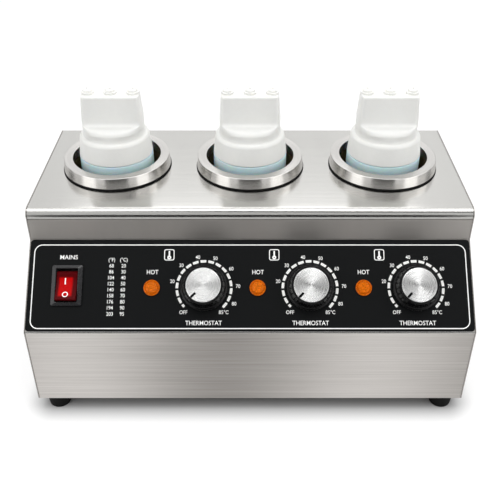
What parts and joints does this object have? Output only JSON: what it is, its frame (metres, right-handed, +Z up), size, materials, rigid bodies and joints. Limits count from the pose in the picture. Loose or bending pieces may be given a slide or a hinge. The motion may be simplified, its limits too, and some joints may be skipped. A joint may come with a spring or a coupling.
{
  "type": "topping warmer",
  "caption": "Counter-top topping warmer: heated wells for capped squeeze bottles in a stainless case with a sloped panel of dials, lamps and a rocker switch.",
  "frame": {"origin": "on the counter, under the middle of the warmer's overall box", "axes": "+X to the right as seen from the front, +Y to the back, +Z up"},
  "size_m": [0.38, 0.2178, 0.25],
  "materials": {
    "brushed_sheet": "brushed",
    "turned_steel": "turned and polished",
    "plated_steel": "zinc plated",
    "spun_aluminium": "spun",
    "copper_tube": "drawn copper",
    "black_rubber": "matt",
    "printed_overlay": "satin film with white print",
    "black_moulding": "satin",
    "knob_black": "semi-gloss",
    "red_rocker": "translucent red",
    "amber_lens": "translucent amber",
    "neon_glass": "clear",
    "silicone_lead": "matt",
    "cream_moulding": "matt",
    "bottle_plastic": "translucent",
    "cap_plastic": "satin"
  },
  "bodies": {
    "warmer_case": {"top_cover": "brushed_sheet", "front_wrap": "brushed_sheet", "side_panel_left": "brushed_sheet", "side_panel_right": "brushed_sheet", "rear_panel": "brushed_sheet", "base_plate": "brushed_sheet", "control_overlay": "printed_overlay", "foot_front_left": "black_rubber", "foot_front_right": "black_rubber", "foot_rear_left": "black_rubber", "foot_rear_right": "black_rubber", "rear_screw_left": "plated_steel", "rear_screw_right": "plated_steel", "well_cup_left": "brushed_sheet", "well_cup_middle": "brushed_sheet", "well_cup_right": "brushed_sheet", "well_collar_left": "turned_steel", "well_collar_middle": "turned_steel", "well_collar_right": "turned_steel", "well_gasket_left": "black_rubber", "well_gasket_middle": "black_rubber", "well_gasket_right": "black_rubber", "band_heater_left": "plated_steel", "band_heater_middle": "plated_steel", "band_heater_right": "plated_steel", "heater_lead_left": "silicone_lead", "heater_lead_middle": "silicone_lead", "heater_lead_right": "silicone_lead", "thermostat_body_left": "black_moulding", "thermostat_body_middle": "black_moulding", "thermostat_body_right": "black_moulding", "thermostat_bulb_left": "copper_tube", "thermostat_bulb_middle": "copper_tube", "thermostat_bulb_right": "copper_tube", "lamp_lens_left": "amber_lens", "lamp_lens_middle": "amber_lens", "lamp_lens_right": "amber_lens", "neon_lamp_left": "neon_glass", "neon_lamp_middle": "neon_glass", "neon_lamp_right": "neon_glass", "switch_housing": "black_moulding", "mains_inlet": "black_moulding", "terminal_block": "cream_moulding", "inlet_lead": "silicone_lead"},
    "dial_left": {"knob_left": "knob_black", "knob_disc_left": "spun_aluminium", "control_shaft_left": "plated_steel"},
    "dial_middle": {"knob_middle": "knob_black", "knob_disc_middle": "spun_aluminium", "control_shaft_middle": "plated_steel"},
    "dial_right": {"knob_right": "knob_black", "knob_disc_right": "spun_aluminium", "control_shaft_right": "plated_steel"},
    "rocker": {"switch_rocker": "red_rocker"},
    "squeeze_bottle_left": {"bottle_left": "bottle_plastic"},
    "squeeze_bottle_middle": {"bottle_middle": "bottle_plastic"},
    "squeeze_bottle_right": {"bottle_right": "bottle_plastic"},
    "cap_left": {"bottle_cap_left": "cap_plastic"},
    "cap_middle": {"bottle_cap_middle": "cap_plastic"},
    "cap_right": {"bottle_cap_right": "cap_plastic"}
  },
  "joints": [
    {"name": "knob_turn_left", "type": "hinge", "parent": "warmer_case", "child": "dial_left", "pos_m": [-0.039, -0.0806, 0.11691], "axis": [0, 0.6688, -0.7435], "range_deg": [0, 273]},
    {"name": "knob_turn_middle", "type": "hinge", "parent": "warmer_case", "child": "dial_middle", "pos_m": [0.051, -0.0806, 0.11691], "axis": [0, 0.6688, -0.7435], "range_deg": [0, 273]},
    {"name": "knob_turn_right", "type": "hinge", "parent": "warmer_case", "child": "dial_right", "pos_m": [0.141, -0.0806, 0.11691], "axis": [0, 0.6688, -0.7435], "range_deg": [0, 273]},
    {"name": "rocker_tip", "type": "hinge", "parent": "warmer_case", "child": "rocker", "pos_m": [-0.1555, -0.07884, 0.11795], "axis": [1, 0, 0], "range_deg": [0, 16]},
    {"name": "bottle_lift_left", "type": "slide", "parent": "warmer_case", "child": "squeeze_bottle_left", "axis": [0, 0, 1], "range_m": [0, 0.165]},
    {"name": "bottle_lift_middle", "type": "slide", "parent": "warmer_case", "child": "squeeze_bottle_middle", "axis": [0, 0, 1], "range_m": [0, 0.165]},
    {"name": "bottle_lift_right", "type": "slide", "parent": "warmer_case", "child": "squeeze_bottle_right", "axis": [0, 0, 1], "range_m": [0, 0.165]},
    {"name": "cap_lift_left", "type": "slide", "parent": "squeeze_bottle_left", "child": "cap_left", "axis": [0, 0, 1], "range_m": [0, 0.03]},
    {"name": "cap_lift_middle", "type": "slide", "parent": "squeeze_bottle_middle", "child": "cap_middle", "axis": [0, 0, 1], "range_m": [0, 0.03]},
    {"name": "cap_lift_right", "type": "slide", "parent": "squeeze_bottle_right", "child": "cap_right", "axis": [0, 0, 1], "range_m": [0, 0.03]}
  ]
}
